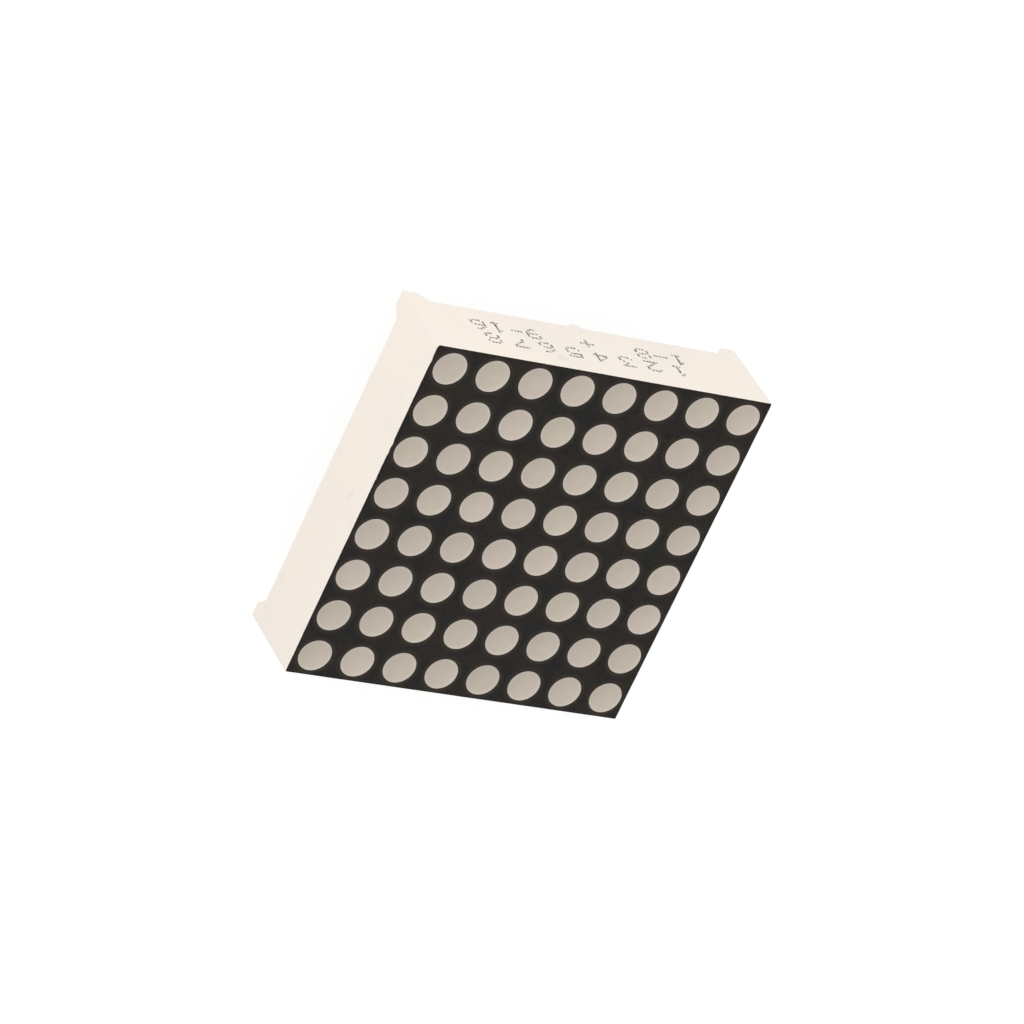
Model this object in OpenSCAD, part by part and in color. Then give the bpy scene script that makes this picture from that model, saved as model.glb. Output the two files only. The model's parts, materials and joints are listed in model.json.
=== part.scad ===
// Eight by eight LED dot matrix: a potted module with 3 mm dots at 4 mm pitch.
// +Z is the way the dots face. The origin is under the middle of the housing,
// on the plane of the pin tips. Lengths are in millimetres.

/* [Dots] */
// Distance between neighbouring dots
dot_pitch = 4; // [3.3:0.1:6]
// Diameter of a dot at the face
dot_d = 3; // [2.2:0.1:3.2]
// Diameter of a light cup at the circuit board
cup_base_d = 2; // [1.8:0.1:2.2]
// Depth of the shallow dish in the front of each dot
dish_depth = 0.2; // [0.02:0.01:0.3]

/* [Housing] */
// Gap between two modules that stand side by side with their dots in step
tile_gap = 0.1; // [0.05:0.05:0.4]
// Height of the housing from its rear rim to its face
body_h = 7; // [5.8:0.1:12]
// Thickness of the side walls
wall_t = 0.8; // [0.6:0.05:0.9]
// Radius of the four upright edges
corner_r = 0.15; // [0.12:0.01:0.6]
// Radius of the edge round the face
edge_r = 0.05; // [0.03:0.01:0.1]
// Distance from the rear rim up to the surface of the potting
fill_recess = 0.7; // [0.3:0.1:1]

/* [Feet] */
// Height of the corner feet below the rear rim
foot_h = 1; // [0.4:0.1:2]
// Length of a foot's flat end along each wall
foot_flat = 1.3; // [0.8:0.05:2.5]
// Length of the ramp from a foot's flat end to the rim
foot_ramp = 0.9; // [0.3:0.05:2]
// Width of the moulding nub where it joins the middle of one rim
nub_d = 1.5; // [0.8:0.1:2]
// Width of the moulding nub at its tip
nub_tip_d = 0.4; // [0.2:0.1:0.8]
// Height of the moulding nub
nub_h = 0.6; // [0.2:0.05:1]
// Distance from the outer face of the wall to the middle of the nub
nub_inset = 0.25; // [0:0.05:0.4]

/* [Face mask] */
// Thickness of the black layer on the face
mask_t = 0.08; // [0.04:0.01:0.3]
// Width of the bare edge left round the black layer
mask_edge = 0.05; // [0.03:0.01:0.1]
// Overlap of the black layer on the rim of each light cup
mask_lap = 0.02; // [0.01:0.01:0.06]

/* [Circuit board] */
// Thickness of the board
board_t = 1; // [0.8:0.1:1.6]
// Clearance between the board's edge and the walls
board_gap = 0.1; // [0.05:0.05:0.3]
// Distance from the board's rear face down to the surface of the potting
rear_cover = 0.9; // [0.7:0.1:2]
// Thickness of the potting between the board and the reflector
glue_line = 0.1; // [0.05:0.05:0.3]
// Thickness of the copper, which lies flush with the solder mask
copper_t = 0.035; // [0.018:0.001:0.07]
// Width of a copper track
track_w = 0.25; // [0.15:0.05:0.3]

/* [Pins] */
// Distance between neighbouring pins of a row
pin_pitch = 2.54; // [2:0.01:3.1]
// Diameter of a pin
pin_d = 0.5; // [0.4:0.05:0.6]
// Length of a pin below the feet
pin_len = 5; // [2:0.1:12]
// Length of a pin end that stands above the board, inside its relief hole
pin_head = 0.45; // [0.2:0.05:0.8]
// Side of a pin's square root, as a share of the pin's diameter
root_share = 0.8; // [0.75:0.05:0.85]
// Width of the solder between the corners of a root and its plated hole
solder_ring = 0.05; // [0.03:0.01:0.1]

/* [Chips] */
// Side of a LED chip
chip_w = 0.3; // [0.2:0.01:0.4]
// Height of a LED chip
chip_h = 0.2; // [0.1:0.01:0.3]
// Diameter of a bond wire
wire_d = 0.03; // [0.02:0.005:0.05]
// Distance from a chip's middle to its bond pad
bond_span = 0.62; // [0.55:0.01:0.75]

/* [Hidden] */
$fn = 48;

n = 8;
half_n = n / 2;
body_w = n * dot_pitch - tile_gap;

feet_z = pin_len;
rim_z = feet_z + foot_h;
face_z = rim_z + body_h;
web_top_z = face_z - mask_t;
fill_z = rim_z + fill_recess;
board_z = fill_z + rear_cover;
board_top_z = board_z + board_t;
web_z = board_top_z + glue_line;

recess_w = body_w - 2 * wall_t;
board_w = recess_w - 2 * board_gap;
pin_row_y = (half_n - 1) * dot_pitch;
pin_gap = 0.01;
plug_gap = 0.01;
plug_sink = 0.03;
mask_hole_r = dot_d / 2 - mask_lap;
over = 0.05;

via_r = 0.15;
via_pad_r = 0.25;
plating_t = 0.04;
land_w = 0.2;
root_w = root_share * pin_d;
root_r = root_w / sqrt(2);
root_z = fill_z + 0.05;
head_z = board_top_z + pin_head;
bore_r = root_r + solder_ring;
pad_r = bore_r + land_w;
die_pad_w = 0.6;
bond_pad_w = 0.4;
tip_chamfer = 0.12;
relief_d = 1;
relief_h = pin_head + 0.25;
solder_h = 0.7;
solder_rim = 0.05;
solder_waist = bore_r + 0.07;
solder_tip = root_r + 0.04;
ball_d = 0.08;
ball_h = 0.02;
loop_r = bond_span / 2;
wire_gap = 0.005;
track_slope_gap = 0.18;

ivory = [0.95, 0.92, 0.87];
black = [0.08, 0.08, 0.08];
greige = [0.74, 0.70, 0.65];
board_white = [0.88, 0.88, 0.84];
copper = [0.80, 0.50, 0.30];
tin = [0.78, 0.78, 0.80];
gold = [0.90, 0.74, 0.32];
chip_blue = [0.45, 0.60, 0.80];

function names(stem, count) = [for (i = [1:count]) str(stem, i)];

// Places. Columns count from -X, rows from +Y. Pins 1 to 8 stand along +Y, from +X
// to -X, and pins 9 to 16 along -Y, from -X to +X.
function column_x(i) = (i - half_n - 0.5) * dot_pitch;
function row_y(j) = (half_n + 0.5 - j) * dot_pitch;
function pin_x(k) = (k <= n ? half_n + 0.5 - k : k - 1.5 * n - 0.5) * pin_pitch;
function pin_y(k) = k <= n ? pin_row_y : -pin_row_y;
function cup_r(z) = (cup_base_d + (dot_d - cup_base_d) * (z - web_z) / (face_z - web_z)) / 2;

// A column's copper passes each row of pins in the lane just outside the pin of its
// own rank, and the outermost column passes outside all the pins.
function rank(i) = abs(i - half_n - 0.5) + 0.5;
function side(i) = i > half_n ? 1 : -1;
function lane_x(i) = side(i) * (rank(i) < half_n
    ? rank(i) * pin_pitch
    : max(abs(column_x(i)), (half_n - 0.5) * pin_pitch + 2 * pad_r));
// The copper of a row comes down to its row in the channel inside the same column.
function channel_x(i) = side(i) * (rank(i) > 1 ? (rank(i) - 1) * dot_pitch : dot_pitch / 8);
// The pin of row j, from the middle outwards, so that the near rows take the near pins.
function row_pin(j) = half_n + (j % 2 == 1 ? (1 - j) / 2 : j / 2);

// ---------------------------------------------------------------- shared shapes

// A square outline with rounded corners.
module rounded_square(w, r) {
    square([w, w - 2 * r], center = true);
    square([w - 2 * r, w], center = true);
    for (x = [-1, 1], y = [-1, 1])
        translate([x * (w / 2 - r), y * (w / 2 - r)]) circle(r);
}

// Puts its child at every dot.
module at_dots()
    for (i = [1:n], j = [1:n])
        translate([column_x(i), row_y(j), 0]) children();

// Puts its child at the pins from first to last.
module at_pins(first, last)
    for (k = [first:last])
        translate([pin_x(k), pin_y(k), 0]) children();

// A band of copper through the given points, as wide in X all along.
module band(points)
    polygon(concat(
        [for (p = points) [p[0] - track_w / 2, p[1]]],
        [for (k = [len(points) - 1:-1:0]) [points[k][0] + track_w / 2, points[k][1]]]
    ));

// The housing seen from a side: rounded at the face, with a ramped gap between the feet.
module side_profile() difference() {
    half = body_w / 2;
    union() {
        translate([-half, feet_z]) square([body_w, web_top_z - edge_r - feet_z]);
        translate([edge_r - half, feet_z]) square([body_w - 2 * edge_r, web_top_z - feet_z]);
        for (x = [-1, 1]) translate([x * (half - edge_r), web_top_z - edge_r]) circle(edge_r);
    }
    gap_w = half - foot_flat;
    rim_w = gap_w - foot_ramp;
    slope = foot_ramp / foot_h;
    polygon([
        [-gap_w - slope * over, feet_z - over], [gap_w + slope * over, feet_z - over],
        [rim_w, rim_z], [-rim_w, rim_z]
    ]);
}

// ---------------------------------------------------------------- housing and face

// The moulded reflector: walls, a thick web with a tapered light cup for each dot, an
// open rear with the feet, and relief holes for the pin ends.
module housing() color(ivory) {
    difference() {
        intersection() {
            translate([0, 0, feet_z]) linear_extrude(web_top_z - feet_z)
                rounded_square(body_w, corner_r);
            intersection_for (turn = [0, 90]) rotate([0, 0, turn]) rotate([90, 0, 0])
                linear_extrude(body_w + 2 * over, center = true) side_profile();
        }
        translate([0, 0, feet_z - over]) linear_extrude(web_z - feet_z + over)
            square(recess_w, center = true);
        at_dots() translate([0, 0, web_z - over])
            cylinder(h = web_top_z - web_z + 2 * over,
                r1 = cup_r(web_z - over), r2 = cup_r(web_top_z + over));
        at_pins(1, 2 * n) translate([0, 0, web_z - over])
            cylinder(h = relief_h + over, d = relief_d);
    }
    nub();
}

// The nub that the moulding leaves in the middle of a rim: a cone within the wall.
module nub() intersection() {
    translate([0, body_w / 2 - nub_inset, rim_z - nub_h])
        cylinder(h = nub_h, d1 = nub_tip_d, d2 = nub_d);
    translate([0, (body_w - wall_t) / 2, rim_z]) cube([body_w, wall_t, 2 * nub_h], center = true);
}

// The black layer on the face, open over each dot.
module face_mask() color(black)
    translate([0, 0, web_top_z]) linear_extrude(mask_t) difference() {
        rounded_square(body_w - 2 * mask_edge, corner_r - mask_edge);
        at_dots() circle(r = mask_hole_r);
    }

// ---------------------------------------------------------------- potting

// One plug of the potting: a tapered body that fills the cup, and within the black layer a
// narrower neck with a dished front.
module plug() {
    steps = 4;
    neck_r = mask_hole_r - plug_gap;
    sunk_z = face_z - plug_sink;
    shoulder_z = web_top_z - plug_gap;
    dish = [for (s = [0:steps])
        let (r = neck_r * (1 - s / steps)) [r, sunk_z - dish_depth * (1 - pow(r / neck_r, 2))]];
    rotate_extrude() polygon(concat(
        [[0, web_z - over], [cup_r(web_z - over) - plug_gap, web_z - over]],
        [[cup_r(shoulder_z) - plug_gap, shoulder_z], [neck_r, shoulder_z]], dish
    ));
}

// The one casting that fills the cups and the rear, round the board and the pins.
module epoxy_fill() color(greige) difference() {
    union() {
        translate([0, 0, fill_z]) linear_extrude(web_z - fill_z)
            square(recess_w - 2 * plug_gap, center = true);
        at_dots() plug();
        at_pins(1, 2 * n) translate([0, 0, web_z - over])
            cylinder(h = relief_h + over - plug_gap, d = relief_d - 2 * plug_gap);
    }
    translate([0, 0, board_z]) linear_extrude(board_t) square(board_w, center = true);
    at_pins(1, 2 * n) {
        cylinder(h = root_z, d = pin_d + 2 * pin_gap);
        pin_root(pin_gap);
        solder_cone(pin_gap);
    }
    for (j = [1:n]) {
        led_row(j);
        bond_wires(j, wire_gap);
    }
}

// ---------------------------------------------------------------- board and copper

// The board, with its surface let in round the copper and its holes.
module circuit_board() color(board_white) difference() {
    translate([0, 0, board_z]) linear_extrude(board_t) square(board_w, center = true);
    for (j = [1:n]) row_copper(j);
    for (i = [1:n]) column_copper(i);
    at_pins(1, 2 * n) translate([0, 0, board_z - over])
        cylinder(h = board_t + 2 * over, r = bore_r);
}

// The pads and the plated barrel of pin k, without their bore.
module pin_land(k) translate([pin_x(k), pin_y(k), board_z]) {
    cylinder(h = copper_t, r = pad_r);
    cylinder(h = board_t, r = bore_r + plating_t);
    translate([0, 0, board_t - copper_t]) cylinder(h = copper_t, r = pad_r);
}

// The copper of row j: the strip and chip pads in front, and the run behind to its pin.
// The run of the last row comes to the front before it meets the second row of pins.
module row_copper(j) {
    k = row_pin(j);
    i = n + 1 - k;
    y = row_y(j);
    up = y > pin_row_y ? 1 : -1;
    bend_y = up > 0 ? y - bond_span : row_y(2) + (j == 2 ? track_w : -bond_span);
    via_y = max(y, -pin_row_y + pad_r + via_pad_r);
    translate([0, 0, board_top_z - copper_t]) linear_extrude(copper_t) {
        translate([0, y]) square([(n - 1) * dot_pitch + die_pad_w, track_w], center = true);
        for (c = [1:n]) translate([column_x(c), y]) square(die_pad_w, center = true);
        translate([channel_x(i), (y + via_y) / 2])
            square([2 * via_r, via_y - y + 2 * via_r], center = true);
    }
    translate([0, 0, board_z]) linear_extrude(copper_t) {
        band([[pin_x(k), pin_row_y], [pin_x(k), pin_row_y + up * pad_r],
            [channel_x(i), bend_y], [channel_x(i), via_y]]);
        translate([channel_x(i), via_y]) circle(via_pad_r);
    }
    translate([channel_x(i), via_y, board_z]) cylinder(h = board_t - copper_t, r = via_r);
    pin_land(k);
}

// The copper of column i: the run behind, a via and bond pad at each dot, and its pin.
module column_copper(i) {
    k = n + i;
    x = column_x(i);
    lane = lane_x(i);
    top_y = row_y(1) - bond_span;
    bottom_y = row_y(n) - bond_span;
    translate([0, 0, board_z]) linear_extrude(copper_t) {
        band([[x, top_y], [x, top_y - track_slope_gap],
            [lane, pin_row_y + pad_r], [lane, pin_row_y - pad_r],
            [x, row_y(2) - bond_span + track_slope_gap], [x, row_y(n - 1) - bond_span],
            [lane, -pin_row_y + pad_r], [lane, -pin_row_y - pad_r],
            [x, bottom_y + track_slope_gap], [x, bottom_y]]);
        for (j = [1:n]) translate([x, row_y(j) - bond_span]) circle(via_pad_r);
        translate([(lane + pin_x(k)) / 2, -pin_row_y])
            square([abs(lane - pin_x(k)), track_w], center = true);
    }
    for (j = [1:n]) translate([x, row_y(j) - bond_span, board_z]) {
        cylinder(h = board_t - copper_t, r = via_r);
        translate([0, 0, board_t - copper_t / 2])
            cube([bond_pad_w, bond_pad_w, copper_t], center = true);
    }
    pin_land(k);
}

// The bore of a pin through its plated barrel.
module pin_bore(k) translate([pin_x(k), pin_y(k), board_z - over])
    cylinder(h = board_t + 2 * over, r = bore_r);

module track_row(j) color(copper) difference() {
    row_copper(j);
    pin_bore(row_pin(j));
}

module track_column(i) color(copper) difference() {
    column_copper(i);
    pin_bore(n + i);
}

// ---------------------------------------------------------------- pins and solder

// Pin k, a round wire with a chamfered tip. Its root is pressed square, from just inside
// the potting, so that it holds in the board's round hole while it is soldered.
module pin(k) color(tin) translate([pin_x(k), pin_y(k), 0]) {
    cylinder(h = tip_chamfer, d1 = pin_d - 2 * tip_chamfer, d2 = pin_d);
    translate([0, 0, tip_chamfer]) cylinder(h = root_z - tip_chamfer, d = pin_d);
    pin_root(0);
}

// The square root of a pin, drawn round the pin's middle, grown by gap.
module pin_root(gap) translate([0, 0, (root_z + head_z + gap) / 2])
    cube([root_w + 2 * gap, root_w + 2 * gap, head_z + gap - root_z], center = true);

// A solder fillet under the board, drawn round the pin, grown by gap.
module solder_cone(gap) rotate_extrude() polygon([
    [0, board_z], [pad_r + gap, board_z], [pad_r + gap, board_z - solder_rim - gap],
    [solder_waist + gap, board_z - solder_h / 2 - gap], [solder_tip + gap, board_z - solder_h - gap],
    [0, board_z - solder_h - gap]
]);

// The solder of the pins from first to last: each fillet, and the ring in the plated hole.
module solder(first, last) color(tin) difference() {
    at_pins(first, last) {
        solder_cone(0);
        translate([0, 0, board_z - over]) cylinder(h = board_t + over, r = bore_r);
    }
    at_pins(first, last) pin_root(pin_gap);
}

// ---------------------------------------------------------------- chips and wires

module led_row(j) color(chip_blue) for (i = [1:n])
    translate([column_x(i), row_y(j), board_top_z + chip_h / 2])
        cube([chip_w, chip_w, chip_h], center = true);

// The wires of row j, grown by gap: a ball on each chip, a half ring over to the bond
// pad and a straight leg down to it.
module bond_wires(j, gap) color(gold) for (i = [1:n])
    translate([column_x(i), row_y(j), board_top_z]) {
        translate([0, 0, chip_h]) cylinder(h = ball_h + gap, d = ball_d + 2 * gap);
        translate([0, -loop_r, chip_h]) rotate([90, 0, 90])
            rotate_extrude(angle = 180) translate([loop_r, 0]) circle(d = wire_d + 2 * gap);
        translate([0, -bond_span, 0]) cylinder(h = chip_h, d = wire_d + 2 * gap);
    }

housing();
face_mask();
epoxy_fill();
circuit_board();
solder(1, n);  // solder_pins_1_to_8
solder(n + 1, 2 * n);  // solder_pins_9_to_16
for (k = [1:2 * n]) pin(k);
for (j = [1:n]) led_row(j);
for (j = [1:n]) bond_wires(j, 0);
for (j = [1:n]) track_row(j);
for (i = [1:n]) track_column(i);
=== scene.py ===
"""Looks of the potted LED dot matrix: 64 resin dots in a black face, on wire pins."""

from __future__ import annotations

import json
import logging
import math
import random
from abc import ABC, abstractmethod
from collections.abc import Callable, Iterable, Sequence
from dataclasses import dataclass, field
from enum import Enum
from typing import NamedTuple

import bmesh
import bpy
from mathutils import Matrix, Vector, noise

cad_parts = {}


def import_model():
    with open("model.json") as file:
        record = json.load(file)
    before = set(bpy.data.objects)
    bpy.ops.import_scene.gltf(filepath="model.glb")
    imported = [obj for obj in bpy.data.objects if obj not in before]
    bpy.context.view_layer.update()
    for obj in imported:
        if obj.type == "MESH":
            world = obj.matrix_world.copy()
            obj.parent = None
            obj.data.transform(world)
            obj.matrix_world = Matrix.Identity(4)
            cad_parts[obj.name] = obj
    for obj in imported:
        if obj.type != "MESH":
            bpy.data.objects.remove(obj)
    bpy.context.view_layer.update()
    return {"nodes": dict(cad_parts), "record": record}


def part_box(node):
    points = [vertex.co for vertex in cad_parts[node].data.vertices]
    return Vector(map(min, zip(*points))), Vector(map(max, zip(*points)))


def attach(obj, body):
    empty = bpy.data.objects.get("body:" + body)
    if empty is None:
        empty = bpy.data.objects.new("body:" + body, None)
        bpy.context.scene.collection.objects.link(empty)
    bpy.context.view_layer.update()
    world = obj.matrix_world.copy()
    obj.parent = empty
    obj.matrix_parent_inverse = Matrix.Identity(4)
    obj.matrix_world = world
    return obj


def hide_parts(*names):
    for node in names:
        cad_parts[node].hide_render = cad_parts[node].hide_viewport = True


LOG = logging.getLogger("dot_matrix")
MM = 0.001
BODY = "root"

Colour = tuple[float, float, float]
Tone = tuple[float, float]


class Slot(Enum):
    """The material slots of the record."""

    IVORY = "ivory_plastic"
    BLACK = "black_ink"
    RESIN = "diffused_epoxy"
    BOARD = "board"
    WIRE = "tinned_wire"
    SOLDER = "solder"
    COPPER = "copper_foil"
    GOLD = "gold_wire"
    CHIP = "chip"


# ------------------------------------------------------------------ shader trees


class Graph:
    """Adds nodes to one shader tree and links them."""

    def __init__(self, tree: bpy.types.NodeTree) -> None:
        """Keeps the tree.

        Args:
            tree: the node tree of a material, a world or a node group.
        """
        self.tree = tree

    def node(self, kind: str, inputs: dict | None = None, **settings: object) -> bpy.types.Node:
        """Adds one node.

        Args:
            kind: the node's type, without its usual prefix.
            inputs: for each input, by name or number, a value or the socket that feeds it.
            settings: the node's own properties.

        Returns:
            The new node.
        """
        prefix = "" if kind.startswith("NodeGroup") else "ShaderNode"
        made = self.tree.nodes.new(prefix + kind)
        for name, value in settings.items():
            setattr(made, name, value)
        for socket, value in (inputs or {}).items():
            self.feed(made.inputs[socket], value)
        return made

    def feed(self, socket: bpy.types.NodeSocket, value: object) -> None:
        """Links a socket to an input, or sets the input to a value."""
        if isinstance(value, bpy.types.NodeSocket):
            self.tree.links.new(value, socket)
        elif isinstance(value, tuple) and len(value) == 3 and socket.type == "RGBA":
            socket.default_value = (*value, 1.0)
        else:
            socket.default_value = value

    def math(self, operation: str, *values: object) -> bpy.types.NodeSocket:
        """Adds a Math node and returns its output."""
        return self.node("Math", dict(enumerate(values)), operation=operation).outputs[0]

    def vector(self, operation: str, *values: object, **named: object) -> bpy.types.NodeSocket:
        """Adds a Vector Math node and returns its vector."""
        inputs = {**dict(enumerate(values)), **named}
        return self.node("VectorMath", inputs, operation=operation).outputs["Vector"]

    def parts(self, vector: bpy.types.NodeSocket) -> bpy.types.NodeOutputs:
        """Splits a vector, and returns its X, Y and Z."""
        return self.node("SeparateXYZ", {"Vector": vector}).outputs

    def noise(self, vector: bpy.types.NodeSocket, scale: object,
              detail: object) -> bpy.types.NodeOutputs:
        """Adds a Noise Texture node and returns its outputs."""
        inputs = {"Vector": vector, "Scale": scale, "Detail": detail}
        return self.node("TexNoise", inputs).outputs

    def ramp(self, value: object, low: object, high: object,
             start: float = 0.0, end: float = 1.0) -> bpy.types.NodeSocket:
        """Adds a smooth Map Range node.

        Args:
            value: what is mapped.
            low: the input value that gives start.
            high: the input value that gives end.
            start: the output at low.
            end: the output at high.

        Returns:
            The mapped value.
        """
        inputs = {"Value": value, "From Min": low, "From Max": high,
                  "To Min": start, "To Max": end}
        made = self.node("MapRange", inputs, interpolation_type="SMOOTHSTEP")
        return made.outputs["Result"]

    def mix(self, factor: object, first: object, second: object) -> bpy.types.NodeSocket:
        """Adds a colour Mix node and returns its colour."""
        made = self.node("Mix", data_type="RGBA")
        self.feed(made.inputs["Factor"], factor)
        self.feed(made.inputs[6], first)
        self.feed(made.inputs[7], second)
        return made.outputs[2]

    def place(self) -> bpy.types.NodeSocket:
        """Adds the Object coordinates of the surface and returns them."""
        return self.node("TexCoord").outputs["Object"]


class Effect(ABC):
    """A shader node group that several finishes share."""

    name: str
    numbers: dict[str, float]
    outputs: Sequence[str]

    @classmethod
    def tree(cls) -> bpy.types.NodeTree:
        """Returns the group's tree, and builds it at the first call."""
        made = bpy.data.node_groups.get(cls.name)
        if made:
            return made
        made = bpy.data.node_groups.new(cls.name, "ShaderNodeTree")
        made.interface.new_socket(name="Vector", in_out="INPUT", socket_type="NodeSocketVector")
        for name, value in cls.numbers.items():
            socket = made.interface.new_socket(
                name=name, in_out="INPUT", socket_type="NodeSocketFloat")
            socket.default_value = value
        for name in cls.outputs:
            made.interface.new_socket(
                name=name, in_out="OUTPUT", socket_type="NodeSocketFloat")
        graph = Graph(made)
        entry = graph.node("NodeGroupInput")
        leave = graph.node("NodeGroupOutput")
        cls.fill(graph, entry.outputs, leave.inputs)
        return made

    @classmethod
    @abstractmethod
    def fill(cls, graph: Graph, entry: bpy.types.NodeOutputs,
             leave: bpy.types.NodeInputs) -> None:
        """Builds the group's nodes between its inputs and its outputs."""

    @classmethod
    def use(cls, graph: Graph, vector: bpy.types.NodeSocket,
            **values: float) -> bpy.types.NodeOutputs:
        """Places the group in a tree.

        Args:
            graph: the tree's graph.
            vector: the coordinates that the pattern follows.
            values: the group's numbers, by name with "_" for a space.

        Returns:
            The outputs of the group's node.
        """
        inputs = {name.replace("_", " "): value for name, value in values.items()}
        return graph.node("Group", {"Vector": vector, **inputs}, node_tree=cls.tree()).outputs


class Grain(Effect):
    """A fine uneven surface, with a little of a coarser one."""

    name = "Grain"
    numbers = {"Size": 0.1 * MM, "Coarse Share": 0.3}
    outputs = ("Height",)
    fine_detail = 2.0
    coarse_detail = 3.0
    coarse_scale = 0.12

    @classmethod
    def fill(cls, graph: Graph, entry: bpy.types.NodeOutputs,
             leave: bpy.types.NodeInputs) -> None:
        """Adds a coarse noise to a fine one."""
        scale = graph.math("DIVIDE", 1.0, entry["Size"])
        wide_scale = graph.math("MULTIPLY", scale, cls.coarse_scale)
        fine = graph.noise(entry["Vector"], scale, cls.fine_detail)["Fac"]
        wide = graph.noise(entry["Vector"], wide_scale, cls.coarse_detail)["Fac"]
        coarse = graph.math("MULTIPLY", wide, entry["Coarse Share"])
        graph.feed(leave["Height"], graph.math("ADD", fine, coarse))


class Blotches(Effect):
    """Soft patches that cover a share of the surface."""

    name = "Blotches"
    numbers = {"Size": 5 * MM, "Share": 0.5, "Softness": 0.1, "Detail": 3.0}
    outputs = ("Mask",)
    bare_level = 0.72
    level_span = 0.44

    @classmethod
    def fill(cls, graph: Graph, entry: bpy.types.NodeOutputs,
             leave: bpy.types.NodeInputs) -> None:
        """Cuts a noise at the level that leaves the share."""
        scale = graph.math("DIVIDE", 1.0, entry["Size"])
        cloud = graph.noise(entry["Vector"], scale, entry["Detail"])["Fac"]
        span = graph.math("MULTIPLY", entry["Share"], cls.level_span)
        level = graph.math("SUBTRACT", cls.bare_level, span)
        low = graph.math("SUBTRACT", level, entry["Softness"])
        high = graph.math("ADD", level, entry["Softness"])
        graph.feed(leave["Mask"], graph.ramp(cloud, low, high))


class Specks(Effect):
    """Small round marks, one in some of the cells that the surface is divided into."""

    name = "Specks"
    numbers = {"Cell": 1 * MM, "Width": 0.1, "Share": 0.1}
    outputs = ("Mask", "Strength")
    core = 0.6

    @classmethod
    def fill(cls, graph: Graph, entry: bpy.types.NodeOutputs,
             leave: bpy.types.NodeInputs) -> None:
        """Keeps the middles of a few random cells."""
        cells = graph.node("TexVoronoi", {
            "Vector": entry["Vector"], "Scale": graph.math("DIVIDE", 1.0, entry["Cell"])})
        colour = graph.node("SeparateColor", {"Color": cells.outputs["Color"]}).outputs
        width = graph.math("MULTIPLY", entry["Width"], colour["Green"])
        inner = graph.math("MULTIPLY", width, cls.core)
        near = graph.ramp(cells.outputs["Distance"], inner, width, 1.0, 0.0)
        chosen = graph.math("LESS_THAN", colour["Red"], entry["Share"])
        graph.feed(leave["Mask"], graph.math("MULTIPLY", near, chosen))
        graph.feed(leave["Strength"], colour["Blue"])


class Smudges(Effect):
    """Ragged marks, one in some of the cells that the surface is divided into."""

    name = "Smudges"
    numbers = {"Cell": 5 * MM, "Width": 0.1, "Share": 0.4, "Ragged": 0.5 * MM, "Warp": 1 * MM}
    outputs = ("Mask", "Strength")
    detail = 5.0
    noise_middle = (0.5, 0.5, 0.5)

    @classmethod
    def fill(cls, graph: Graph, entry: bpy.types.NodeOutputs,
             leave: bpy.types.NodeInputs) -> None:
        """Warps the surface before it is divided, so that no mark stays round."""
        scale = graph.math("DIVIDE", 1.0, entry["Ragged"])
        cloud = graph.noise(entry["Vector"], scale, cls.detail)["Color"]
        off = graph.vector("SUBTRACT", cloud, cls.noise_middle)
        shift = graph.vector("SCALE", off, Scale=entry["Warp"])
        moved = graph.vector("ADD", entry["Vector"], shift)
        values = {name: entry[name] for name in ("Cell", "Width", "Share")}
        marks = Specks.use(graph, moved, **values)
        for name in cls.outputs:
            graph.feed(leave[name], marks[name])


class DotField(Effect):
    """Where a point lies in the square grid of dots."""

    name = "Dot field"
    numbers = {"Pitch": 4 * MM}
    outputs = ("Radius", "Tint", "Tone")
    cell_middle = 0.5

    @classmethod
    def fill(cls, graph: Graph, entry: bpy.types.NodeOutputs,
             leave: bpy.types.NodeInputs) -> None:
        """Measures from the middle of the dot, and draws two numbers for each dot."""
        per_cell = graph.math("DIVIDE", 1.0, entry["Pitch"])
        parts = graph.parts(graph.vector("SCALE", entry["Vector"], Scale=per_cell))
        cell, local = [], []
        for axis in "XY":
            cell.append(graph.math("FLOOR", parts[axis]))
            share = graph.math("SUBTRACT", parts[axis], cell[-1])
            local.append(graph.math("SUBTRACT", share, cls.cell_middle))
        squares = [graph.math("MULTIPLY", one, one) for one in local]
        radius = graph.math("SQRT", graph.math("ADD", *squares))
        graph.feed(leave["Radius"], graph.math("MULTIPLY", radius, entry["Pitch"]))
        corner = graph.node("CombineXYZ", {"X": cell[0], "Y": cell[1]}).outputs["Vector"]
        drawn = graph.node("TexWhiteNoise", {"Vector": corner}, noise_dimensions="3D")
        colour = graph.node("SeparateColor", {"Color": drawn.outputs["Color"]}).outputs
        graph.feed(leave["Tint"], colour["Red"])
        graph.feed(leave["Tone"], colour["Green"])


# ------------------------------------------------------------------ finishes


class Surface(NamedTuple):
    """What a finish's pattern feeds to its shader."""

    colour: bpy.types.NodeSocket
    rough: bpy.types.NodeSocket
    height: bpy.types.NodeSocket


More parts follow.
